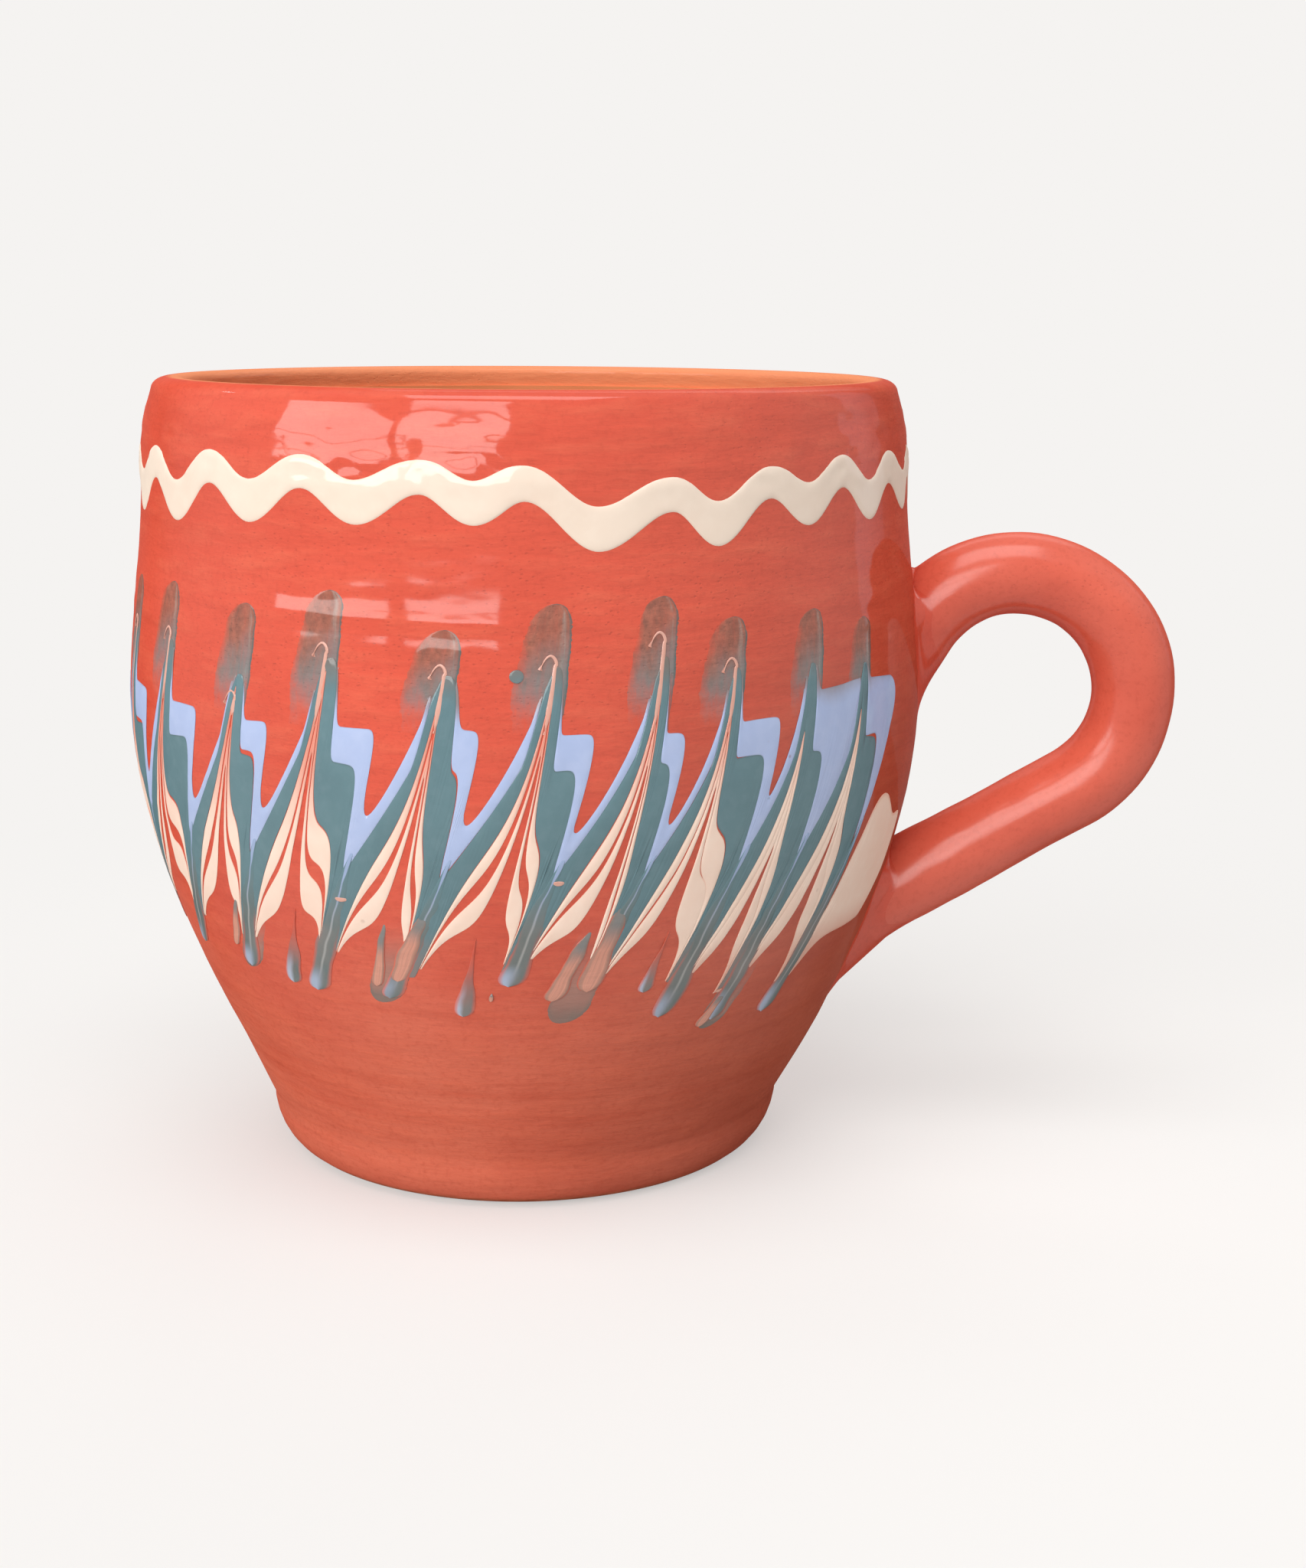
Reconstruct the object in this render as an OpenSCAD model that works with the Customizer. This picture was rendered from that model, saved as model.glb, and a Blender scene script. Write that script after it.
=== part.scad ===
// Slip-trailed clay mug: a thrown body with a glaze lining, a rolled handle luted on
// at two roots, a wavy slip line under the lip and three combed slip colours on the belly.
// The mug stands on z = 0 with its axis on Z, and the handle points along +X.

/* [Body] */
// Height of the mug from the base to the lip
mug_h = 90; // [84:1:110]
// Radius of the flat base
base_r = 27.5; // [22:0.5:29]
// Radius of the heel above the base
heel_r = 29.9; // [29.5:0.1:34]
// Height of the rounded heel
heel_h = 4; // [2:0.5:6]
// Slope of the wall where it leaves the heel
heel_flare = 0.46; // [0.2:0.02:0.7]
// Largest radius of the belly
belly_r = 45.6; // [42:0.2:52]
// Height of the belly's widest place
belly_z = 53.5; // [44:0.5:60]
// Inset of the collar from the belly
collar_in = 1.9; // [0.5:0.1:4]
// Depth of the collar below the lip
collar_drop = 10; // [7:0.5:14]
// Inset of the lip from the collar
lip_in = 1.8; // [0.5:0.1:3]
// Inward slope of the wall at the lip
lip_lean = 0.45; // [0.2:0.05:0.7]
// Thickness of the wall, measured level
wall_t = 3.8; // [3:0.1:5]
// Thickness of the floor
floor_t = 6; // [4:0.5:9]
// Radius of the hollow between the floor and the wall
floor_fillet = 9; // [5:0.5:12]

/* [Glaze lining] */
// Thickness of the glaze on the inside
glaze_t = 0.4; // [0.2:0.05:0.8]
// Depth below the lip at which the lining ends
glaze_drop = 2.5; // [2:0.25:6]

/* [Handle] */
// Diameter of the clay roll
roll_d = 9.6; // [7:0.1:12]
// Radius of the bow, on the centre line of the roll
bow_r = 13.8; // [12:0.1:18]
// Distance from the belly to the centre of the bow
bow_reach = 11; // [9:0.25:12]
// Depth of the centre of the bow below the lip
bow_drop = 35.5; // [33:0.5:40]
// Angle of the straight leg below level
leg_angle = 31; // [20:1:40]

/* [Luting] */
// Thickness of the slip between the roll and the wall
luting_t = 0.5; // [0.3:0.1:1]
// Width of the fillet of slip around each root
luting_fillet = 2; // [1:0.1:3]

/* [Wavy line] */
// Depth of the middle of the line below the lip
wave_drop = 10.5; // [9:0.25:13]
// Height of the waves above and below that middle
wave_rise = 2; // [0.5:0.1:2.5]
// Number of waves around the mug
wave_count = 23; // [12:1:30]
// Angle from the handle to the nearest crest
wave_turn = -6.5; // [-15:0.5:15]
// Width of the line
wave_w = 2.9; // [2:0.1:3.5]
// Thickness of the line
wave_t = 0.7; // [0.3:0.05:1.2]

/* [Combed slip] */
// Thickness of the combed slip
slip_t = 0.35; // [0.2:0.05:0.7]
// Number of upward strokes of the comb
stroke_count = 23; // [15:1:28]
// Angle on each side of the handle that is left bare
handle_gap = 26; // [22:1:40]
// Depth of the top of the strokes below the lip
stroke_drop = 22; // [19:0.5:26]
// Height of the strokes from top to bottom
stroke_h = 39; // [34:0.5:44]
// Depth of the top of the blue band below the lip
band_drop = 33.5; // [31:0.5:36]
// Width of the blue band
blue_w = 3.5; // [2:0.1:4.5]
// Width of the teal band
teal_w = 6.2; // [4:0.1:7]
// Width of each of the two cream lines
cream_w = 3.9; // [2.5:0.1:4.2]
// Width of the bare clay between two bands
band_gap = 0.6; // [0.4:0.1:1]

/* [Hidden] */
$fn = 96;

clay = "#d9614a";
lining = "#c8754f";
cream = "#f8e6d2";
blue = "#a6b8e6";
teal = "#5c8a8a";

// Clearance between applied slip and the wall
slip_seat = 0.25;
// Height of one ring of the turned profile
profile_step = 1.5;
// Half the height over which the slant of the wall is measured
slant_span = 1;
// Length of the roll that runs on into the wall before it is trimmed
root_run = 14;
// Lap and step where a straight run of the roll is let into the bow
lap = 0.5;
lap_step = 0.01;

collar_r = belly_r - collar_in;
lip_r = collar_r - lip_in;
roll_r = roll_d / 2;
bow_x = belly_r + bow_reach;
bow_z = mug_h - bow_drop;
leg_turn = leg_angle - 90;
wave_z = mug_h - wave_drop;
stroke_top = mug_h - stroke_drop;
stroke_foot = stroke_top - stroke_h;
blue_top = mug_h - band_drop;
teal_top = blue_top - blue_w - band_gap;
cream_top = teal_top - teal_w - band_gap;
cream_low_top = cream_top - cream_w - band_gap;
stroke_pitch = (360 - 2 * handle_gap) / stroke_count;

// Height of a smooth curve at x between two stations [x, height, slope]
function hermite(a, b, x) =
    let (run = b[0] - a[0], t = (x - a[0]) / run)
    a[1] * (2 * t ^ 3 - 3 * t ^ 2 + 1) + a[2] * run * (t ^ 3 - 2 * t ^ 2 + t)
    + b[1] * (3 * t ^ 2 - 2 * t ^ 3) + b[2] * run * (t ^ 3 - t ^ 2);

// Stations of the wall: [height, radius, slope]
wall_stations = [
    [heel_h, heel_r, heel_flare],
    [belly_z, belly_r, 0],
    [mug_h - collar_drop, collar_r, 0],
    [mug_h - wall_t / 2, lip_r, -lip_lean],
];

// Outer radius of the wall at height z
function wall_r(z) =
    z <= heel_h ? base_r + (heel_r - base_r) * sqrt(max(0, 1 - (1 - z / heel_h) ^ 2))
    : z <= belly_z ? hermite(wall_stations[0], wall_stations[1], z)
    : z <= mug_h - collar_drop ? hermite(wall_stations[1], wall_stations[2], z)
    : hermite(wall_stations[2], wall_stations[3], min(z, mug_h - wall_t / 2));

// Radius of the hollow at height z, taken in by inset from the wall and the floor
function hollow_r(z, inset) =
    let (low = floor_t + inset, rise = max(0, 1 - (z - low) / floor_fillet))
    wall_r(z) - wall_t - inset - floor_fillet * (1 - sqrt(max(0, 1 - rise ^ 2)));

// Evenly spaced heights from low to high
function heights(low, high) =
    let (n = ceil((high - low) / profile_step))
    [for (i = [0 : n]) low + (high - low) * i / n];

// The heel is short and round, so its heights are spaced by the angle of its arc
heel_steps = 8;
function heel_heights() = [for (i = [0 : heel_steps - 1]) heel_h * (1 - cos(90 * i / heel_steps))];

outer_heights = concat(heel_heights(), heights(heel_h, mug_h - wall_t / 2));
outer_line = [for (z = outer_heights) [wall_r(z), z]];

// Round top of the lip, from the outer face over to the inner one
lip_steps = 12;
lip_arc = [for (i = [1 : lip_steps - 1])
    [lip_r - wall_t / 2 + wall_t / 2 * cos(180 * i / lip_steps),
     mug_h - wall_t / 2 + wall_t / 2 * sin(180 * i / lip_steps)]];

// Line of the hollow from the top edge down to the middle of the floor
function hollow_line(inset, top) =
    let (zs = heights(floor_t + inset, top))
    concat([for (i = [len(zs) - 1 : -1 : 0]) [hollow_r(zs[i], inset), zs[i]]], [[0, floor_t + inset]]);

// Everything inside the outer face of the wall, grown by a margin and carried on below the base
module wall_mass(margin) {
    rotate_extrude()
        polygon(concat(
            [[0, -root_run], [base_r + margin, -root_run]],
            [for (p = outer_line) [p[0] + margin, p[1]]],
            [[lip_r + margin, mug_h], [0, mug_h]]));
}

module body() {
    color(clay)
        rotate_extrude()
            polygon(concat([[0, 0]], outer_line, lip_arc, hollow_line(0, mug_h - wall_t / 2)));
}

module glaze_lining() {
    top = mug_h - glaze_drop;
    outside = hollow_line(0, top);
    inside = hollow_line(glaze_t, top);
    color(lining)
        rotate_extrude()
            polygon(concat(outside, [for (i = [len(inside) - 1 : -1 : 0]) inside[i]]));
}

// Stands a shape drawn about Z upright on the centre of the bow, in the plane of the handle
module at_bow() {
    translate([bow_x, 0, bow_z])
        rotate([90, 0, 0])
            children();
}

// Angle on the bow at which the centre line of the roll meets the wall
function meets_wall(a) =
    bow_x + bow_r * cos(a) <= wall_r(bow_z + bow_r * sin(a)) || a >= 180 ? a : meets_wall(a + 1);
root_turn = meets_wall(90);

// Places its children on the bow's end at the wall, with +Z leading back along the roll
module at_upper_root() {
    at_bow()
        rotate([0, 0, root_turn])
            translate([bow_r, 0, 0])
                rotate([90, 0, 0])
                    children();
}

// The same at the place where the leg meets the wall
module at_lower_root() {
    translate([leg_point(leg_length)[0], 0, leg_point(leg_length)[1]])
        rotate([0, 90 - leg_angle, 0])
            children();
}

// The roll before it is trimmed: a bow with a straight run into the wall at each end
module roll() {
    at_bow()
        rotate([0, 0, leg_turn])
            rotate_extrude(angle = root_turn - leg_turn)
                translate([bow_r, 0])
                    circle(r = roll_r);
    at_upper_root()
        translate([0, 0, -root_run])
            cylinder(r = roll_r - lap_step, h = root_run + lap);
    at_lower_root()
        translate([0, 0, -root_run])
            cylinder(r = roll_r - lap_step, h = root_run + leg_length + lap);
}

// Length of the leg from the bow to the wall, stepped along its centre line
leg_start = [bow_x + bow_r * cos(leg_turn), bow_z + bow_r * sin(leg_turn)];
function leg_point(s) = leg_start - s * [cos(leg_angle), sin(leg_angle)];
leg_step = 0.25;
function leg_reach(s) =
    leg_point(s)[0] <= wall_r(max(0, leg_point(s)[1])) ? s : leg_reach(s + leg_step);
leg_length = leg_reach(0);

module handle() {
    color(clay)
        difference() {
            roll();
            wall_mass(luting_t);
        }
}

// Slant of the wall at height z, outward going up
function wall_tilt(z) = atan((wall_r(z + slant_span) - wall_r(z - slant_span)) / (2 * slant_span));

// Long round-ended outline along Y
module oval(r, spread) {
    for (end = [-spread, spread])
        translate([0, end])
            circle(r = r);
    square([2 * r, 2 * spread], center = true);
}

// Tiers of the fillet of slip: [share of its width, share of its height]
fillet_tiers = [[1, 0.4], [0.45, 1]];

// Slip pressed around a root where the roll rises from level by an angle: an oval boss
// square to the wall covers the long foot of the joint, less the wall and the roll
module root_slip(z, rise) {
    tilt = wall_tilt(z);
    spread = roll_r / sin(90 - tilt - rise) - roll_r;
    color(clay)
        difference() {
            translate([wall_r(z), 0, z])
                rotate([0, 90 + tilt, 0])
                    rotate([0, 0, 90])
                        for (tier = fillet_tiers)
                            translate([0, 0, -root_run])
                                linear_extrude(root_run + luting_fillet * tier[1])
                                    oval(roll_r + luting_fillet * tier[0], spread);
            wall_mass(0);
            handle();
        }
}

module upper_luting() {
    root_slip(bow_z + bow_r * sin(root_turn), root_turn - 90);
}

module lower_luting() {
    root_slip(leg_point(leg_length)[1], leg_angle);
}

// Point on the wall at an angle and a height, stood off by a distance
function on_wall(angle, z, off) =
    let (r = wall_r(z) + off)
    [r * cos(angle), r * sin(angle), z];

// Side faces of a tube of rings, each of n points, as triangles. The first half of a ring
// and the second are split along the same diagonal, so that inside and outside stay parallel.
function ring_faces(rings, n, closed) =
    [for (i = [0 : rings - (closed ? 1 : 2)], j = [0 : n - 1], half = [0, 1])
        let (a = i * n, b = (i + 1) % rings * n, k = (j + 1) % n)
        j < n / 2
        ? (half == 0 ? [a + j, b + j, b + k] : [a + j, b + k, a + k])
        : (half == 0 ? [a + j, b + j, a + k] : [b + j, b + k, a + k])];

// Crowned section of the wavy line: [share of half the width, share of the thickness]
wave_section = [[-1, 0], [-0.62, 0.76], [0, 1], [0.62, 0.76], [1, 0]];
wave_steps = 12;

module wavy_line() {
    rings = wave_count * wave_steps;
    n = len(wave_section);
    points = [for (i = [0 : rings - 1], p = wave_section)
        let (a = 360 * i / rings,
             turn = wave_count * (a - wave_turn),
             z = wave_z + wave_rise * cos(turn),
             slope = wave_rise * wave_count * sin(turn) / collar_r)
        on_wall(a, z + p[0] * wave_w / 2 * sqrt(1 + slope ^ 2), slip_seat + p[1] * wave_t)];
    color(cream)
        polyhedron(points, ring_faces(rings, n, true), convexity = 10);
}

// Sideways lean of the strokes at height z, as an angle: steep at the top, slanting at the foot
lean_foot = 0.62;
lean_top = 0.12;
function lean(z) =
    let (t = (z - stroke_foot) / stroke_h)
    stroke_h * (lean_foot * (t - 0.5) + (lean_top - lean_foot) * (t ^ 2 - 0.25) / 2);

// Places in one stroke where the outline turns, as shares of the pitch: the tool
// comes down at 0, is drawn up along the long flank to 0.5 and leaves a level step after it
stroke_turns = [0, 0.02, 0.05, 0.1, 0.18, 0.32, 0.44, 0.5, 0.52, 0.56, 0.63, 0.84, 0.92, 0.96, 0.98, 0.99];

// Share of the way that slip is drawn to the top and to the foot of a stroke, and how far
// the pull reaches to each side of the tool, as shares of the pitch
up_share = 0.84;
up_before = 0.2;
up_after = 0.06;
down_share = 0.92;
down_before = 0.05;
down_after = 0.1;
function drawn_up(t) = up_share * (t < 0.5 ? exp((t - 0.5) / up_before) : exp((0.5 - t) / up_after));
function drawn_down(t) = down_share * (t < 0.5 ? exp(-t / down_after) : exp((t - 1) / down_before));

// Height to which the comb draws slip that lay at height z
function combed(t, z) =
    let (up = z + (stroke_top - z) * drawn_up(t))
    up + (stroke_foot - up) * drawn_down(t);

comb_places = concat(
    [for (k = [0 : stroke_count - 1], t = stroke_turns) [k + t, t]],
    [[stroke_count, 0]]);

// One band of slip from low to high, drawn out by the comb
module combed_band(low, high) {
    rings = len(comb_places);
    last = 4 * (rings - 1);
    points = [for (c = comb_places, corner = [[low, 0], [high, 0], [high, slip_t], [low, slip_t]])
        let (z = combed(c[1], corner[0]))
        on_wall(handle_gap + stroke_pitch * c[0] + lean(z), z, slip_seat + corner[1])];
    ends = [[0, 1, 2], [0, 2, 3], [last, last + 2, last + 1], [last, last + 3, last + 2]];
    polyhedron(points, concat(ring_faces(rings, 4, false), ends), convexity = 10);
}

module blue_slip() {
    color(blue)
        combed_band(blue_top - blue_w, blue_top);
}

module teal_slip() {
    color(teal)
        combed_band(teal_top - teal_w, teal_top);
}

module upper_cream_slip() {
    color(cream)
        combed_band(cream_top - cream_w, cream_top);
}

module lower_cream_slip() {
    color(cream)
        combed_band(cream_low_top - cream_w, cream_low_top);
}

body();
glaze_lining();
handle();
upper_luting();
lower_luting();
wavy_line();
blue_slip();
teal_slip();
upper_cream_slip();
lower_cream_slip();
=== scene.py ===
import bisect
from math import atan2, ceil, copysign, cos, degrees, exp, hypot, pi, radians, sin, sqrt, tau

import bpy
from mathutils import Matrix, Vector, noise


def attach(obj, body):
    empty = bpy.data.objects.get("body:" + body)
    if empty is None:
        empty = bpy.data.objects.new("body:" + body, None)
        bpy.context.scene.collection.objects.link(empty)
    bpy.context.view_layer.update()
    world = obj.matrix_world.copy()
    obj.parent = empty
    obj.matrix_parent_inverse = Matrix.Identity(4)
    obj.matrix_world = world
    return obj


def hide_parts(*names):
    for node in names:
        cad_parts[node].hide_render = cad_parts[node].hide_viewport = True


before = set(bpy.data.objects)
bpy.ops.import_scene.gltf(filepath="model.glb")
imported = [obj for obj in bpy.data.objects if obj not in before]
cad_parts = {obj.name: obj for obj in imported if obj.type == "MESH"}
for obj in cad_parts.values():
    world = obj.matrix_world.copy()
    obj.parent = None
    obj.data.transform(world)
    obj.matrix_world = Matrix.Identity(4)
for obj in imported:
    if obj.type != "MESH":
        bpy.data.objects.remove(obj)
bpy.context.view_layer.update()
mm = 0.001
perDegree = 0.78  # millimetres along the wall for a degree round it
print("frame loaded:", len(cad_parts), "nodes")


# ways of laying a mesh down

def freshStart():
    if bpy.context.mode != "OBJECT":
        bpy.ops.object.mode_set(mode="OBJECT")
    bpy.ops.object.select_all(action="DESELECT")


def editAll():
    bpy.ops.object.mode_set(mode="EDIT")
    bpy.ops.mesh.select_all(action="SELECT")


def closeUp(gap=0.00001):
    editAll()
    bpy.ops.mesh.remove_doubles(threshold=gap)
    bpy.ops.mesh.normals_make_consistent(inside=False)
    bpy.ops.object.mode_set(mode="OBJECT")


def handOver(piece, finish, slot, *nodes):
    freshStart()
    piece.select_set(True)
    bpy.context.view_layer.objects.active = piece
    bpy.ops.object.shade_smooth_by_angle(angle=radians(55))
    piece.data.materials.clear()
    piece.data.materials.append(finish)
    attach(piece, "root")
    if nodes:
        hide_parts(*nodes)
    print("piece", piece.name, len(piece.data.polygons), "faces")


def turnOnWheel(name, line, steps):  # line runs in [radius, height] from pole to pole
    freshStart()
    bpy.ops.mesh.primitive_plane_add(size=2 * mm, location=(line[0][0] * mm, 0, line[0][1] * mm))
    piece = bpy.context.object
    piece.name = name
    bpy.ops.object.transform_apply(location=True, rotation=True, scale=True)
    editAll()
    bpy.ops.mesh.merge(type="CENTER")
    for (r0, z0), (r1, z1) in zip(line, line[1:]):
        bpy.ops.mesh.extrude_region_move(
            TRANSFORM_OT_translate={"value": ((r1 - r0) * mm, 0, (z1 - z0) * mm)})
    bpy.ops.mesh.select_all(action="SELECT")
    bpy.ops.mesh.spin(steps=steps, angle=tau, center=(0, 0, 0), axis=(0, 0, 1))
    closeUp()
    return piece


def thicken(piece, depth):
    thick = piece.modifiers.new("backing", "SOLIDIFY")
    thick.thickness, thick.offset = depth * mm, -1
    bpy.ops.object.modifier_apply(modifier=thick.name)


def layGrid(name, cols, rows, place, backing=0):  # place(u, t) gives a point in metres
    freshStart()
    bpy.ops.mesh.primitive_grid_add(x_subdivisions=cols, y_subdivisions=rows, size=1)
    piece = bpy.context.object
    piece.name = name
    for vert in piece.data.vertices:
        vert.co = place(vert.co.x + 0.5, vert.co.y + 0.5)
    if backing:
        thicken(piece, backing)
    return piece


# the wall of the mug

wall = {
    "height": 89.5, "baseR": 26.4, "heelR": 30.4, "heelH": 6, "heelFlare": 0.5, "footAside": -0.6,
    "bellyR": 45.6, "bellyZ": 53.5, "collarR": 43.5, "collarZ": 79.5,
    "lipR": 42.2, "lipLean": 0.3, "lipRound": 1.4, "lipSquare": 0.75, "lipStart": 88,
    "thick": 3.8, "skinDeep": 0.4, "floor": 6, "floorRound": 9, "steps": 360,
    # throwing ridges left on the outside: [height, depth, spread]
    "ridges": [[11, 0.05, 1.4], [17, 0.05, 1.6], [22, 0.06, 2], [28, 0.05, 1.8], [35, 0.04, 2],
               [43, 0.04, 2.2], [57.5, 0.02, 1.4], [64.6, 0.05, 0.9], [67.2, 0.07, 0.9],
               [72, 0.012, 1.2], [84.2, 0.02, 0.8]],
}


def easeBetween(a, b, x):  # a and b are [x, value, slope]
    run = b[0] - a[0]
    t = (x - a[0]) / run
    return (a[1] * (2 * t ** 3 - 3 * t ** 2 + 1) + a[2] * run * (t ** 3 - 2 * t ** 2 + t)
            + b[1] * (3 * t ** 2 - 2 * t ** 3) + b[2] * run * (t ** 3 - t ** 2))


def uneven(x, y, z):
    return noise.noise(Vector((x, y, z)))


def smooth(low, high, x):
    t = min(1, max(0, (x - low) / (high - low)))
    return t * t * (3 - 2 * t)


def wallRadius(z):
    heel = [wall["heelH"], wall["heelR"], wall["heelFlare"]]
    belly = [wall["bellyZ"], wall["bellyR"], 0]
    collar = [wall["collarZ"], wall["collarR"], 0]
    lip = [wall["height"] - wall["lipRound"], wall["lipR"], -wall["lipLean"]]
    if z <= heel[0]:
        return wall["baseR"] + (heel[1] - wall["baseR"]) * sqrt(max(0, 1 - (1 - z / heel[0]) ** 2))
    if z <= belly[0]:
        return easeBetween(heel, belly, z)
    if z <= collar[0]:
        return easeBetween(belly, collar, z)
    return easeBetween(collar, lip, min(z, lip[0]))


def throwing(angle, z):  # how far the wall stands off its true line
    a = radians(angle)
    foot = smooth(8, 20, z)
    grip = foot * (1 - smooth(84, wall["lipStart"], z))
    swing = 0.1 * sin(2 * a + 0.7) + 0.06 * sin(3 * a - 1.1)
    drift = 0.35 * sin(a + 1) + 0.15 * sin(3 * a)
    rings = sum(d * exp(-((z + drift - at) / w) ** 2)
                for at, d, w in wall["ridges"] if abs(z - at) < 4 * w + 1)
    rings *= 1 + 0.35 * sin(2 * a + z)
    x, y = 16 * cos(a), 16 * sin(a)
    skin = 0.05 * uneven(x, y, 0.8 * z) + 0.03 * abs(uneven(1.8 * x, 1.8 * y, 1.1 * z))
    skin *= 0.4 + 1.8 * smooth(77, 82, z)  # rougher round the collar
    return grip * (swing + rings) + skin * foot * (1 - smooth(86, wall["lipStart"], z))


def onWall(angle, z, off):
    r = (wallRadius(z) + throwing(angle, z) + off) * mm
    a = radians(angle)
    return Vector((r * cos(a), r * sin(a), z * mm))


def roundAxis(vert):  # radius and height in millimetres, and the angle
    x, y, z = vert.co / mm
    return hypot(x, y), z, atan2(y, x)


def scaleOut(vert, grow):
    vert.co.x *= grow
    vert.co.y *= grow


def heights(low, high, step):
    n = ceil((high - low) / step)
    return [low + (high - low) * i / n for i in range(n + 1)]


def hollowRadius(z, inset):
    rise = max(0, 1 - (z - wall["floor"] - inset) / wall["floorRound"])
    corner = wall["floorRound"] * (1 - sqrt(max(0, 1 - rise * rise)))
    return wallRadius(z) - wall["thick"] - inset - corner


def hollowLine(inset, top):
    return [[hollowRadius(z, inset), z] for z in reversed(heights(wall["floor"] + inset, top, 1.5))]


def throwBody():
    half, rise, square = wall["thick"] / 2, wall["lipRound"], wall["lipSquare"]
    top = wall["height"] - rise
    heel = [wall["heelH"] * (1 - cos(radians(90 * i / 8))) for i in range(8)]
    line = [[0, 0]]
    line += [[wall["baseR"] * k / 3, 0] for k in (1, 2)]
    line += [[wallRadius(z), z] for z in heel + heights(wall["heelH"], top, 0.5)]
    for i in range(1, 16):  # the lip, rounded off with a wet leather
        a = pi * i / 16
        over = wall["lipLean"] * rise * sin(a)
        out = half * copysign(abs(cos(a)) ** square, cos(a))
        line.append([wall["lipR"] - half - over + out, top + rise * sin(a) ** square])
    line += hollowLine(0, top) + [[0, wall["floor"]]]
    body = turnOnWheel("thrownBody", line, wall["steps"])
    for vert in body.data.vertices:  # fingers and the tool leave the outside uneven
        r, z, a = roundAxis(vert)
        outside = r > wallRadius(z) - wall["skinDeep"]
        if outside and z < wall["lipStart"]:
            scaleOut(vert, (r + throwing(degrees(a), z)) / r)
        if z < 3 or outside:  # the foot was cut off a little to one side
            vert.co.x += wall["footAside"] * (1 - smooth(4, 16, z)) * mm
    return body


lining = {"thick": 0.4, "drop": 2.5, "ridgePitch": 6.5, "ridge": 0.22}


def glazeInside():
    top = wall["height"] - lining["drop"]
    inner = hollowLine(lining["thick"], top)
    line = [[0, wall["floor"]]] + hollowLine(0, top)[::-1] + inner + [[0, wall["floor"] + lining["thick"]]]
    coat = turnOnWheel("glazeLining", line, wall["steps"] // 2)
    for vert in coat.data.vertices:  # the finger's spiral, felt through the glaze
        r, z, a = roundAxis(vert)
        if r > 6 and z > wall["floor"] + 0.2 and r < hollowRadius(z, 0) - 0.2:
            fade = smooth(10, 18, z) * (1 - smooth(80, 86, z))
            ridge = lining["ridge"] * fade * (0.5 + 0.5 * sin(tau * z / lining["ridgePitch"] + a))
            scaleOut(vert, (r - ridge) / r)
    return coat


# the handle and the slip that sticks it on

roll = {
    "radius": 4.8, "bowR": 13.7, "bowX": 56.8, "bowZ": 54, "rootTurn": 148, "legSlope": 30.5,
    "sides": 56, "bowSteps": 64, "rootSteps": 8, "rootStep": 1.2, "legSteps": 48, "legStep": 0.65,
    "uneven": 0.16, "dimple": 0.06,
}
roll["arc"] = radians(roll["rootTurn"] + 90 - roll["legSlope"]) * roll["bowR"]


def rollFrame(s):  # centre, outward normal and direction, s along the roll from the upper root
    a = radians(roll["rootTurn"]) - min(max(s, 0), roll["arc"]) / roll["bowR"]
    normal = Vector((cos(a), 0, sin(a)))
    along = Vector((sin(a), 0, -cos(a)))
    centre = Vector((roll["bowX"], 0, roll["bowZ"])) + normal * roll["bowR"]
    if s < 0:
        centre += along * s
    elif s > roll["arc"]:
        centre += along * (s - roll["arc"])
    return centre, normal, along


def rollRadius(s, turn):  # rolled between the hands, so never quite even
    lump = uneven(s * 0.09, 1.3 * cos(turn), 1.3 * sin(turn) + 7)
    dimple = uneven(s * 0.3, 3 * cos(turn), 3 * sin(turn))
    press = 0.25 * exp(-((s - 17) / 9) ** 2) * (0.5 + 0.5 * cos(turn)) ** 3
    return roll["radius"] + roll["uneven"] * lump + roll["dimple"] * dimple - press + 0.25 * smooth(55, 75, s)


def onRoll(s, turn, off=0):
    centre, normal = rollFrame(s)[:2]
    r = rollRadius(s, turn) + off
    return (centre + r * (cos(turn) * normal + sin(turn) * Vector((0, 1, 0)))) * mm


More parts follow.
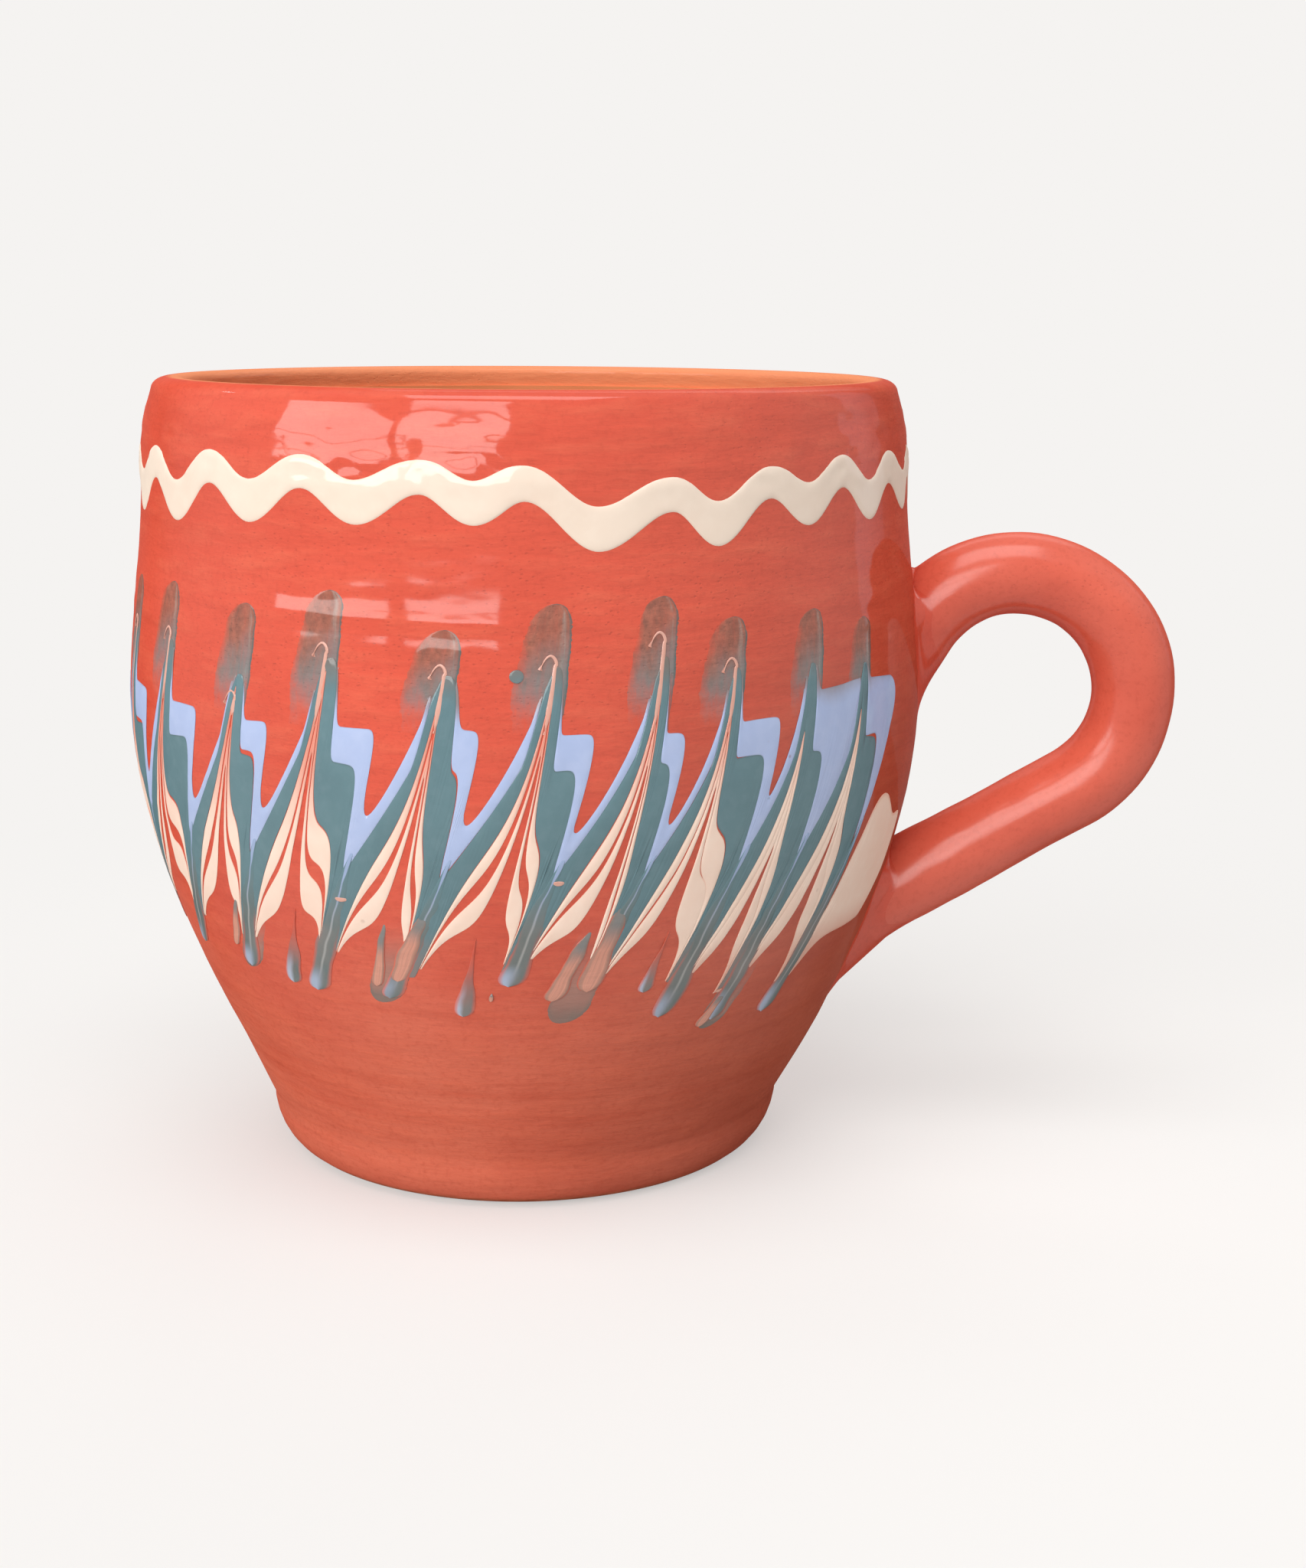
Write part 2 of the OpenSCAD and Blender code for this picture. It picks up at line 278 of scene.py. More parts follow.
def bendHandle():
    freshStart()
    centre, along = rollFrame(roll["arc"])[::2]
    turned = along.to_track_quat("Z", "Y").to_euler()
    bpy.ops.mesh.primitive_circle_add(vertices=roll["sides"], radius=roll["radius"] * mm,
                                      location=centre * mm, rotation=turned)
    handle = bpy.context.object
    handle.name = "rolledHandle"
    bpy.ops.object.transform_apply(location=True, rotation=True, scale=True)
    editAll()
    bpy.ops.mesh.spin(steps=roll["bowSteps"], angle=roll["arc"] / roll["bowR"], axis=(0, 1, 0),
                      center=(roll["bowX"] * mm, 0, roll["bowZ"] * mm))
    into = rollFrame(0)[2] * -roll["rootStep"] * mm
    for step in range(roll["rootSteps"]):  # the upper end runs on into the wall
        bpy.ops.mesh.extrude_region_move(TRANSFORM_OT_translate={"value": into})
    bpy.ops.mesh.edge_face_add()
    bpy.ops.object.mode_set(mode="OBJECT")
    for vert in handle.data.vertices:  # pick up the first ring again for the leg
        spoke = vert.co / mm - centre
        vert.select = abs(spoke.dot(along)) < 0.05 and spoke.length < roll["radius"] + 1.2
    for edge in handle.data.edges:
        edge.select = all(handle.data.vertices[k].select for k in edge.vertices)
    for face in handle.data.polygons:
        face.select = False
    bpy.ops.object.mode_set(mode="EDIT")
    bpy.ops.mesh.select_mode(type="EDGE")
    for step in range(roll["legSteps"]):
        bpy.ops.mesh.extrude_region_move(TRANSFORM_OT_translate={"value": along * roll["legStep"] * mm})
    bpy.ops.mesh.edge_face_add()
    bpy.ops.mesh.select_mode(type="VERT")
    closeUp()
    for vert in handle.data.vertices:
        s = alongRoll(vert.co / mm)
        middle, normal = rollFrame(s)[:2]
        spoke = vert.co / mm - middle
        turn = atan2(spoke.y, spoke.dot(normal))
        if spoke.length > 1:
            vert.co = (middle + spoke * (rollRadius(s, turn) / roll["radius"])) * mm
    return handle


def alongRoll(point):  # distance along the roll that is nearest to a point
    turn = degrees(atan2(point.z - roll["bowZ"], point.x - roll["bowX"]))
    low = roll["legSlope"] - 90
    root, into = rollFrame(0)[::2]
    if turn > roll["rootTurn"] or (turn < -130 and point.z > 40):
        return min(0, (point - root).dot(into))
    end, along = rollFrame(roll["arc"])[::2]
    if (point - end).dot(along) > 0 and turn < 20:
        return roll["arc"] + (point - end).dot(along)
    return radians(roll["rootTurn"] - max(low, turn)) * roll["bowR"]


luting = {
    "around": 96, "along": 12, "deep": 0.8, "climb": 1.25,
    "upper": {"width": 2, "under": 1.6, "over": -1.7},
    "lower": {"width": 2.2, "under": 4, "over": -1.8},
}


def meetsWall(turn, upper):  # where a line along the roll goes through the wall
    inside, outside = (-9, 14) if upper else (roll["arc"] + 31, roll["arc"] + 6)
    for step in range(40):
        middle = (inside + outside) / 2
        p = onRoll(middle, turn) / mm
        if hypot(p.x, p.y) < wallRadius(p.z) + 0.02:
            inside = middle
        else:
            outside = middle
    return outside


def pressLuting(name, upper):
    size = luting["upper" if upper else "lower"]
    side = 1 if upper else -1
    ring = [onRoll(meetsWall(tau * k / 24, upper), tau * k / 24) / mm for k in range(24)]
    midZ = sum(p.z for p in ring) / 24

    def place(u, t):
        turn = tau * u
        s = meetsWall(turn, upper)
        corner = onRoll(s, turn) / mm
        angle = degrees(atan2(corner.y, corner.x))
        away = Vector((radians(angle) * wallRadius(corner.z), corner.z - midZ)).normalized()
        thumb = 1 + 0.16 * sin(3 * turn + 0.8) + 0.12 * sin(5 * turn + (2 if upper else 4))
        width = size["width"] * thumb
        width += size["under"] * max(0, -away.y) ** 2 + size["over"] * max(0, away.y) ** 2
        up = s + side * width * luting["climb"]
        a = onRoll(up, turn) / mm
        aIn = onRoll(up, turn, -luting["deep"]) / mm
        z = corner.z + away.y * width
        far = angle + degrees(away.x * width / wallRadius(z))
        b = onWall(far, z, 0) / mm
        bIn = onWall(far, z, -luting["deep"]) / mm
        j = round(t * (luting["along"] + 3))
        if j <= luting["along"]:
            k = j / luting["along"]
            dent = 0.16 * sin(pi * k) * uneven(2.2 * cos(turn), 2.2 * sin(turn), 3 if upper else 9)
            p = a * (1 - k) ** 2 + corner * 2 * k * (1 - k) + b * k * k
            p += (a + b - 2 * corner).normalized() * dent
        else:
            p = (bIn, aIn, a)[j - luting["along"] - 1]
        return p * mm

    piece = layGrid(name, luting["around"], luting["along"] + 3, place)
    closeUp(0.000004)
    return piece


# the slip line under the lip

waveLine = {
    "crest": 3.4, "trough": 4.4, "relief": 0.16, "backing": 0.5, "cols": 720, "rows": 12,
    # crest, trough, crest and so on as [angle, height of the middle], left to right across the front
    "front": [[-157, 77.6], [-149, 81], [-141, 77.4], [-132, 81.3], [-124, 78.2], [-115, 81.4], [-107, 78.6],
              [-98, 81.2], [-91, 78.8], [-84.5, 80.7], [-75, 76.3], [-65, 79.5], [-58.5, 76.5], [-50, 80.3],
              [-43, 77.9], [-35.5, 80.9], [-28, 77.6], [-21, 80.7]],
    "backPairs": 14, "backCrest": 80.9, "backTrough": 77.3,
}


def waveTurns():
    turns = list(waveLine["front"])
    start, end = turns[-1][0], turns[0][0] + 360
    count = 2 * waveLine["backPairs"] + 1
    for k in range(1, count):  # the back carries on with the same hand
        crest = k % 2 == 0
        turns.append([start + (end - start) * (k + 0.18 * sin(k * 2.3)) / count,
                      waveLine["backCrest" if crest else "backTrough"] + 0.5 * sin(k * 1.7)])
    turns.append([end, turns[0][1]])
    return turns


def trailWave():
    turns = waveTurns()
    spans = list(zip(turns, turns[1:]))

    def edges(angle):
        for (a0, z0), (a1, z1) in spans:
            if a0 <= angle <= a1:
                swing = 0.5 - 0.5 * cos(pi * (angle - a0) / (a1 - a0))
                z, up = z0 + (z1 - z0) * swing, swing if z1 > z0 else 1 - swing
                break
        a = radians(angle)
        width = waveLine["crest"] + (waveLine["trough"] - waveLine["crest"]) * (1 - up ** 2.5)
        width *= 1 + 0.08 * uneven(cos(a) * 7, sin(a) * 7, 2)
        return z - width / 2, z + width / 2

    def place(u, t):
        angle = turns[0][0] + 360 * u if u < 0.9999 else turns[0][0]
        low, high = edges(angle)
        across = -cos(pi * t)
        relief = waveLine["relief"] * max(0, 1 - across ** 6) ** 0.6 - 0.03
        return onWall(angle, (low + high) / 2 + across * (high - low) / 2, relief)

    line = layGrid("wavyLine", waveLine["cols"], waveLine["rows"], place)
    closeUp(0.000002)
    thicken(line, waveLine["backing"])
    return line


# the combed slip

comb = {
    "cols": 3600, "rows": 8, "samples": 9000, "relief": 0.06, "backing": 0.4, "reach": 16,
    # teal's low points, and where the blue begins, ends and tears
    "valley": 41.5, "seam": 53, "top": 56.6, "torn": 60.2,
    # [angle at mid height, head, pull, half width of its right side] of each upward stroke across the front
    "up": [[-159.2, 64, 18, 2], [-144, 64.2, 18, 2], [-127.5, 62, 16, 1.8], [-113.5, 64.6, 19, 2.2],
           [-97.8, 63.4, 17.5, 2.4], [-84, 64.3, 19, 1.5], [-70.2, 65, 20, 1.2], [-59.9, 63.4, 17, 1.5],
           [-47.2, 63, 15, 1.6], [-35.4, 62, 14, 1.5]],
    # [angle at mid height, foot, how far cream follows on its left, notch in the blue] of each downward one
    "down": [[-165, 30, 1.3, 48.5], [-150, 30, 1.3, 48.5], [-134.5, 30, 1.3, 48.5], [-120.6, 29.5, 1.2, 49.5],
             [-105, 30, 1.2, 50], [-91.6, 29, 1.6, 48.5], [-77.2, 30, 1.15, 47], [-65.2, 28, 1.9, 48.5],
             [-51.5, 27, 1.5, 51.5], [-41, 24.5, 2.6, 56.6], [-28, 24, 2.6, 56.6]],
    "flanks": {-127.5: 0.35, -113.5: 0.35, -47.2: 1.7},  # upward strokes with less or more blue on their left
    "backStrokes": 12,
}
frontUp, frontDown = len(comb["up"]), len(comb["down"])
for k in range(comb["backStrokes"]):  # round the back the hand keeps its rhythm
    at = -173 - 13.4 * k + 1.3 * sin(k * 2.1)
    comb["up"].append([at, 64 + sin(k * 1.3), 18 + 1.5 * sin(k * 2.7), 1.8 + 0.5 * sin(k * 1.9)])
    comb["down"].append([at - 6.2 + 0.8 * sin(k * 1.7), 29.5 + sin(k * 1.9),
                         1.5 + 0.3 * sin(k * 1.1), 48.5 + 1.2 * sin(k * 2.3)])
strokes = sorted([s[0], way, s] for way in ("up", "down") for s in comb[way])
strokeAngles = [s[0] for s in strokes]


def leanUp(z):
    return 0.33 * (z - 50) - 0.006 * (z - 50) ** 2


def leanDown(z):
    return 0.42 * (z - 50) - 0.0055 * (z - 50) ** 2


def lesser(a, b):  # the smaller of two, with the corner rounded
    return 0 if b <= 0 else (a ** -8 + b ** -8) ** -0.125


def pullOf(d, left, right, core=0.0, channel=0.0):  # how strongly slip follows a tool d degrees away
    d = copysign(max(0, abs(d) - channel), d)
    reach = left if d < 0 else right
    x = sqrt(d * d + 0.0144) - 0.12
    return (1 - core) * exp(-x / reach) + core * exp(-x / (0.3 * reach))


def combed(place, v):  # where the comb leaves slip that was trailed at an angle and height
    bottom, seam = comb["valley"], comb["seam"]
    broadness = smooth(46, 52.8, v)  # the upper bands go with the whole width of the tool
    crown = min(1, max(0, v - seam) / 3.6)
    upLeft = min(1.5, max(0.6, 0.6 + (v - 37) * 0.085))
    fine = v
    for at, head, pull, right in comb["up"]:
        if abs(place - at) < comb["reach"]:
            fine += pullOf(place - at, upLeft, 0.7) * lesser(pull, 0.93 * (head + 1 - v))
    low = fine
    for at, foot, left, notch in comb["down"]:
        if abs(place - at) < comb["reach"]:
            fine -= pullOf(place - at, left, 2.3, 0.35, 1.2) * lesser(20, 0.97 * (low - foot))
    k = bisect.bisect(strokeAngles, place)
    d, e, tip, right, notch, flank = 99, 99, v, 2, 48.5, 1
    for at, way, stroke in strokes[max(0, k - 1):k + 1]:
        if way == "up":
            d, tip, right = place - at, stroke[1] - 1.2, stroke[3]
            flank = comb["flanks"].get(at, 1)
        else:
            e, notch = place - at, stroke[3]
    valley = bottom + ((notch - bottom) * crown if v > seam else 0.45 * (v - seam)) + max(0, v - comb["top"])
    if d < 0 < e < 90:  # between a downward stroke and the next upward one
        share = e / (e - d)
        rise = 0.75 * share + 0.25 * smooth(0.72, 0.88, share)  # steepest right beside the tool
        broad = valley + (tip - valley) * rise
        if v > seam:  # the blue swells and tears off before the head of the stroke
            teal = bottom + (tip - bottom) * rise
            torn = comb["torn"] + 0.9 * uneven(place * 2.2, 0, 5)
            swell = 1.2 + 4.6 * flank * share + (notch - bottom - 1.2) * exp(-share / 0.12)
            above = crown * lesser(swell, torn - teal)
            if notch > 55:  # no notch, the blue runs straight up to the head
                above = valley + (tip - 1.5 * crown - valley) * share ** 0.95 - teal
            broad = teal + max(0.05 * crown, above)
    else:
        broad = v - (v - valley) * exp(-abs(e / (1.3 - 0.75 * crown)) ** (2 - 0.6 * crown))
        if d >= 0:
            broad += (tip - v) * exp(-(d / right) ** 5)
    z = fine + (broad - fine) * broadness
    g = smooth(0, 1, abs(d) / (abs(d) + abs(e)))
    return place + leanUp(z) * (1 - g) + leanDown(z) * g, z


bands = {  # where each colour was trailed, from its lower to its upper edge
    "blueSlip": {"low": 53, "high": 56.6, "start": -333, "end": -25.5, "swell": 2.2},
    "tealSlip": {"low": 46.4, "high": 53, "start": -333, "end": -27.5},
    "upperCream": {"low": 42.6, "high": 46.2, "start": -334, "end": -26, "sag": 1},
    "lowerCream": {"low": 36.4, "high": 40.6, "start": -334, "end": -8, "sag": 3},
}


def wander(place, v):  # bands that touch keep one edge
    return 0.28 * sin(place * 0.11 + v) + 0.16 * sin(place * 0.31 + 2 * v)


def trailBand(name):
    band = bands[name]
    middle = (band["low"] + band["high"]) / 2

    def edges(place):  # a hand-held trailer wanders, and starts and stops in a round drop
        near = min(place - band["start"], band["end"] - place)
        end = sqrt(max(0.0004, 1 - (1 - min(1, near / 3)) ** 2))
        low = band["low"] + wander(place, band["low"])
        low -= band.get("sag", 0) * smooth(-62, -46, place)  # heavier towards the handle
        high = band["high"] + wander(place, band["high"])
        high += band.get("swell", 0) * smooth(-48.5, -45.8, place)
        if name == "upperCream":  # the two creams close up on this side
            low -= 0.5 * smooth(-74, -50, place)
        if name == "lowerCream":  # the trailer stopped here in a wide pool
            high += 0.9 * smooth(-74, -50, place)
            low -= 3 * smooth(-34, -26, place)
            high += 7 * smooth(-31, -26, place) * (1 - smooth(-26, -13, place))
        if name == "tealSlip":  # clay shows between teal and blue here and there
            high -= 0.5 * max(0, sin(place * 0.2 + 1.2)) ** 6
        centre = (low + high) / 2
        return centre - (high - low) / 2 * end, centre + (high - low) / 2 * end

    widths = {}
    count = comb["samples"]
    steps = [band["start"] + (band["end"] - band["start"]) * k / count for k in range(count + 1)]
    way, last = [0], None
    for at in steps:  # columns stand closer where the slip was pulled far
        angle, z = combed(at, sum(edges(at)) / 2)
        if last:
            way.append(way[-1] + hypot(z - last[1], (angle - last[0]) * perDegree) + 0.015)
        last = angle, z

    def place(u, t):
        far = u * way[-1]
        k = min(count, max(1, bisect.bisect(way, far)))
        at = steps[k - 1] + (steps[k] - steps[k - 1]) * (far - way[k - 1]) / (way[k] - way[k - 1])
        low, high = edges(at)
        v = low + (high - low) * (0.5 - 0.5 * cos(pi * t))
        angle, z = combed(at, v)
        key = round(u * comb["cols"])
        if key not in widths:
            widths[key] = combed(at, high)[1] - combed(at, low)[1]
        dome = sin(pi * t) ** 2
        rough = 0.012 * uneven(angle * 0.8, z * 0.6, middle)
        sunk = 0 if name == "tealSlip" else 0.8 * (1 - smooth(0.1, 0.5, widths[key]))  # too thin to see
        if "Cream" in name:  # wiped away where the tool left the wall
            foot = min(comb["down"], key=lambda stroke: abs(stroke[0] - at))[1]
            sunk = max(sunk, 0.8 * (1 - smooth(foot + 0.6, foot + 2.4, z)))
        relief = min(comb["relief"], 0.01 + 0.04 * widths[key]) * dome
        return onWall(angle, z, 0.045 + relief + rough - sunk)

    piece = layGrid(name, comb["cols"], comb["rows"], place, comb["backing"])
    cut = piece.modifiers.new("cut", "TRIANGULATE")  # leaning quads shade better this way
    cut.quad_method = "SHORTEST_DIAGONAL"
    bpy.ops.object.modifier_apply(modifier=cut.name)
    return piece


# what the tool drags out at the ends of its strokes

marks = {
    "film": 0.02, "hook": 0.12, "tail": 0.07, "filmFoot": 56.5, "tailHead": 44,
    # [angle, top, half width in degrees] of the thin film above each upward stroke across the front
    "films": [[-155.6, 68.5, 2.8], [-141, 69, 2.9], [-124, 68, 2.8], [-110.6, 70, 2.8], [-94.6, 66.6, 3],
              [-80.9, 69.2, 2.9], [-66.9, 69.7, 2.6], [-56.9, 67.3, 2.8], [-43.2, 67.3, 2.6],
              [-31.8, 65.6, 2.4]],
    # [angle, top] of the pale line that hooks over to the left at the head of a stroke
    "hooks": [[-155.7, 64], [-140.6, 64.2], [-125, 59], [-110.3, 64.8], [-94.4, 63.2], [-80.6, 64.2],
              [-66.6, 66.2], [-56.6, 63.2]],
    # [stroke, foot angle, foot height, half width in degrees] of the tail under each downward stroke
    "tails": [[-165, -178, 28, 1.8], [-150, -162.5, 28, 1.8], [-134.5, -147, 28, 1.8],
              [-120.6, -131.8, 27.8, 1.8], [-105, -118, 26.9, 2], [-91.6, -105.2, 27.2, 1.7],
              [-77.2, -87.2, 29.4, 1.9], [-65.2, -76.4, 29.4, 1.3], [-51.5, -64.2, 24.6, 1.9],
              [-41, -54.4, 23.2, 1.8], [-28, -43.4, 22.6, 1.8]],
    # [head angle, head height, foot angle, foot height, half width] of the wide brown drag under some strokes
    "drags": [[-126, 36, -132.4, 27.6, 2.8], [-100.5, 38, -106.8, 26.6, 3.2], [-74, 38, -79.6, 24.8, 3.5],
              [-49, 31, -55.2, 22.2, 2.8]],
    # where the tool was first set down: [foot angle, foot height, head angle, head height, half width]
    "comets": [[-122.6, 27.2, -118.2, 36.5, 1.7], [-94.2, 25.6, -91.4, 35, 1.4], [-67.4, 28, -64.6, 35, 1.1]],
    # pinkish lobes of cream pulled along with a drag, given in the same way
    "lobes": [[-107, 28.6, -104, 36.6, 0.9], [-81, 27.6, -75.4, 36.5, 1.5], [-76, 28.6, -70.8, 40, 1.8],
              [-134, 30, -129.5, 37, 0.9], [-103.6, 29.4, -97.2, 39, 1.6], [-56.4, 22.6, -52.5, 27, 1.1],
              [-89.9, 27.6, -89.6, 28.6, 0.4]],
    # stray drops of teal and threads of cream: [angle, height, half width in degrees, half height]
    "drops": [[-85.6, 62.2, 0.9, 0.65], [-212, 63.5, 0.8, 0.6], [-262, 66, 0.6, 0.5]],
    "threads": [[-80.4, 41.2, 0.8, 0.3], [-110.2, 38.4, 1, 0.28]],
}
for at, top, pull, right in comb["up"][frontUp:]:  # the same marks round the back
    marks["films"].append([at + leanUp(66), top + 4.5, 2.7])
    marks["hooks"].append([at + leanUp(top), top + 0.3])
for k, (at, foot, left, notch) in enumerate(comb["down"][frontDown:]):
    marks["tails"].append([at, at + leanDown(foot - 2.5), foot - 2.5, 1.8 + 0.2 * sin(k * 2.2)])
    if k % 3 == 1:
        marks["drags"].append([at + leanDown(37) - 1, 37, at + leanDown(foot - 3) - 1, foot - 3, 3])
        marks["lobes"].append([at + leanDown(29) - 1.2, 29, at + leanDown(37) - 1, 37, 0.9])
    elif k % 3 == 2:
        marks["comets"].append([at + leanDown(26) - 5, 26.5, at + leanDown(35) - 4, 35, 1.3])


def joinAs(name, pieces):
    freshStart()
    for piece in pieces:
        piece.select_set(True)
    bpy.context.view_layer.objects.active = pieces[0]
    bpy.ops.object.join()
    pieces[0].name = name
    return pieces[0]


def straight(a0, z0, a1, z1):  # from one angle and height to another
    return lambda t: (a0 + (a1 - a0) * t, z0 + (z1 - z0) * t)


def filmStrip(spine, half, cap, seed, flare=0.0):
    def place(u, t):
        along = 1 - (1 - t) ** 1.6
        a, z = spine(along)
        end = max(0, along - 1 + cap) / cap  # the round end
        width = half * sqrt(max(0, 1 - end * end)) * (0.75 + 0.25 * smooth(0, 0.4, along))
        across = 2 * u - 1
        if across < 0:
            across *= 1.3 + flare * (1 - along)  # it drags out thinner on the left
        wobble = 0.2 * uneven(seed, z * 0.6, across * 0.6)
        crown = max(0, 1 - (2 * u - 1) ** 2)
        off = (0.03 + marks["film"]) * smooth(0, 0.75, crown) - 0.03
        return onWall(a + width * across + wobble, z, off)

    return layGrid("film", 18, 30, place, 0.3)


def wipeFilms():
    films = []
    low = marks["filmFoot"]
    for at, top, half in marks["films"]:
        spine = straight(at + 0.12 * (low - 66), low, at + 0.12 * (top - 66), top)
        films.append(filmStrip(spine, half, radians(half) * 44.5 / (top - low), at, 1.3))
    return joinAs("toolFilms", films)


def spreadDrags():
    drags = []
    for headAt, head, footAt, foot, half in marks["drags"]:
        drags.append(filmStrip(straight(headAt, head, footAt, foot), -half,
                               radians(half) * 37 / (head - foot), footAt))
    return joinAs("brownDrags", drags)


def pullHooks():
    hooks = []
    low = marks["filmFoot"]
    for at, top in marks["hooks"]:

        def spine(s):
            if s < 0.7:
                z = low + (top - 0.9 - low) * s / 0.7
                return at + leanUp(z) - leanUp(top), z
            turn = pi * (s - 0.7) / 0.3 * 0.95  # over the top and back down to the left
            drop = 1.3 * max(0, (s - 0.85) / 0.15) ** 1.5
            return at - 0.8 + 0.8 * cos(turn) - 0.35 * drop, top - 0.9 + 0.9 * sin(turn) - 0.5 * drop

        def place(u, t):
            a, z = spine(t)
            a1, z1 = spine(min(1, t + 0.01))
            a0, z0 = spine(max(0, t - 0.01))
            run = Vector(((a1 - a0) * perDegree, z1 - z0)).normalized()
            half = (0.36 - 0.24 * t) * sqrt(max(0, 1 - t ** 6)) * smooth(-0.05, 0.3, t)
            across = 2 * u - 1
            crown = max(0, 1 - across * across) ** 0.5
            off = marks["hook"] * 0.5 * crown + 0.06
            return onWall(a + across * half * run.y / perDegree, z - across * half * run.x, off)

        hooks.append(layGrid("hook", 6, 48, place, 0.25))
    return joinAs("hookedLines", hooks + dropStrips("threads", 0.04))


def tailStrip(spine, half, length, neck, lift=0.0):  # neck None makes a round drop
    cap = radians(half) * 38 / length

    def place(u, t):
        a, z = spine(t)
        end = max(0, 1 - t / cap)
        if neck is None:
            width = half * sqrt(max(0, 1 - (2 * t - 1) ** 2))
        else:
            width = half * sqrt(max(0, 1 - end * end)) * (1 - (1 - neck) * smooth(0.1, 0.75, t))
            width *= (1 - 0.75 * smooth(0.62, 1, t)) * (1 + 0.1 * sin(a + 6 * t))
        across = 2 * u - 1
        crown = max(0, 1 - abs(across) ** 4) ** 0.5
        sink = (0.1 + 2 * lift) * smooth(0.97 - 6 * lift, 1, t)  # the thin end goes under
        wobble = 0.2 * uneven(a * 0.5, z * 0.5, 1)
        return onWall(a + across * width + wobble, z, (marks["tail"] + lift) * crown + 0.05 - sink)

    return layGrid("tail", 10, 56, place, 0.35)


def dragTails():
    tails = []
    for at, footAt, foot, half in marks["tails"]:
        length = marks["tailHead"] - foot

        def spine(t):
            z = foot + length * t
            swerve = (footAt - at - leanDown(foot)) * (1 - smooth(0, 0.7, t))
            return at + leanDown(z) + swerve + 0.3 * smooth(0.6, 1, t), z

        tails.append(tailStrip(spine, half, length, 0.6))
    return joinAs("strokeTails", tails)


def dropStrips(kind, lift=0.0):
    return [tailStrip(straight(at, z - size, at, z + size), half, 2 * size, None, lift)
            for at, z, half, size in marks[kind]]


def straightStrips(kind, neck, lift=0.0):
    return [tailStrip(straight(footAt, foot, headAt, head), half, head - foot, neck, lift)
            for footAt, foot, headAt, head, half in marks[kind]]


# camera, lamps and floor

view = {"place": (26.8, -255.1, 97.8), "tilt": 77.66, "roll": -0.37, "turn": 2.8, "lens": 50.54}


def setCamera():
    freshStart()
    bpy.ops.object.camera_add(location=[v * mm for v in view["place"]],
                              rotation=[radians(view[k]) for k in ("tilt", "roll", "turn")])
    camera = bpy.context.object
    camera.data.lens = view["lens"]
    camera.data.clip_start = 0.01
    bpy.context.scene.camera = camera


daylight = (1, 0.99, 0.97)
studio = {
    # soft boxes: [angle to the left of the camera, elevation, distance, width, height, watts, colour]
    "boxes": [[21, 9.5, 1, 0.44, 0.12, 0.9, daylight], [21, 20, 1, 0.44, 0.22, 1.7, daylight],
              [21, 34, 1, 0.44, 0.22, 1.5, daylight],
              [56.5, 9.5, 1, 0.62, 0.12, 1.2, daylight], [56.5, 20, 1, 0.62, 0.22, 2.1, daylight],
              [12, 70, 1.1, 0.8, 0.6, 5.5, (1, 1, 1)], [-118, 14, 0.9, 0.3, 0.6, 0.4, (0.86, 0.8, 1)],
              [114, 33, 1, 0.08, 0.05, 0.12, (1, 1, 1)], [-165, 38, 1.3, 1, 0.7, 4.5, (1, 0.98, 0.96)]],
    "fill": [-75, 38, 1.2, 0.9, 0.9, 2.9, (1, 0.97, 0.95)],  # not seen in the glaze
    "aim": (0, 0, 0.055), "facing": -84, "sky": 0.33, "paper": (0.913, 0.896, 0.879),
    # the floor's colour for the lamps' light and for the eye, and the opening under the foot
    "lit": (0.5, 0.48, 0.46, 1), "shown": (0.9, 0.89, 0.87, 1), "opening": 0.0262,
}


def setLamps():
    aim = Vector(studio["aim"])
    facing = radians(studio["facing"])
    for box in [*studio["boxes"], studio["fill"]]:
        left, rise, far, wide, high, watts, colour = box
        a, e = facing - radians(left), radians(rise)
        at = aim + far * Vector((cos(a) * cos(e), sin(a) * cos(e), sin(e)))
        turned = (at - aim).to_track_quat("Z", "Y").to_euler()
        bpy.ops.object.light_add(type="AREA", location=at, rotation=turned)
        bpy.context.object.visible_glossy = box is not studio["fill"]
        lamp = bpy.context.object.data
        lamp.shape = "RECTANGLE"
        lamp.size, lamp.size_y, lamp.energy, lamp.color = wide, high, watts, colour


def tint(code):  # a colour as it looks on screen, for the shader
    parts = [int(code[k:k + 2], 16) / 255 for k in (0, 2, 4)]
    return [c / 12.92 if c < 0.04045 else ((c + 0.055) / 1.055) ** 2.4 for c in parts] + [1]


class Wire:  # a socket that takes part in sums
    def __init__(self, finish, socket):
        self.finish, self.socket = finish, socket

    def math(self, operation, other=0.0, flip=False):
        pair = (other, self) if flip else (self, other)
        return self.finish.node("Math", {0: pair[0], 1: pair[1]}, operation=operation)

    def __add__(self, other):
        return self.math("ADD", other)

    def __sub__(self, other):
        return self.math("SUBTRACT", other)

    def __rsub__(self, other):
        return self.math("SUBTRACT", other, True)

    def __mul__(self, other):
        return self.math("MULTIPLY", other)

    def __abs__(self):
        return self.math("ABSOLUTE")

    def atMost(self, limit):
        return self.math("MINIMUM", limit)

    def above(self, edge, spread):  # 0 below the edge, 1 above it, eased over the spread
        limits = {"From Min": edge - spread, "From Max": edge + spread}
        return self.finish.node("MapRange", {"Value": self, **limits}, interpolation_type="SMOOTHSTEP")

    __radd__, __rmul__ = __add__, __mul__


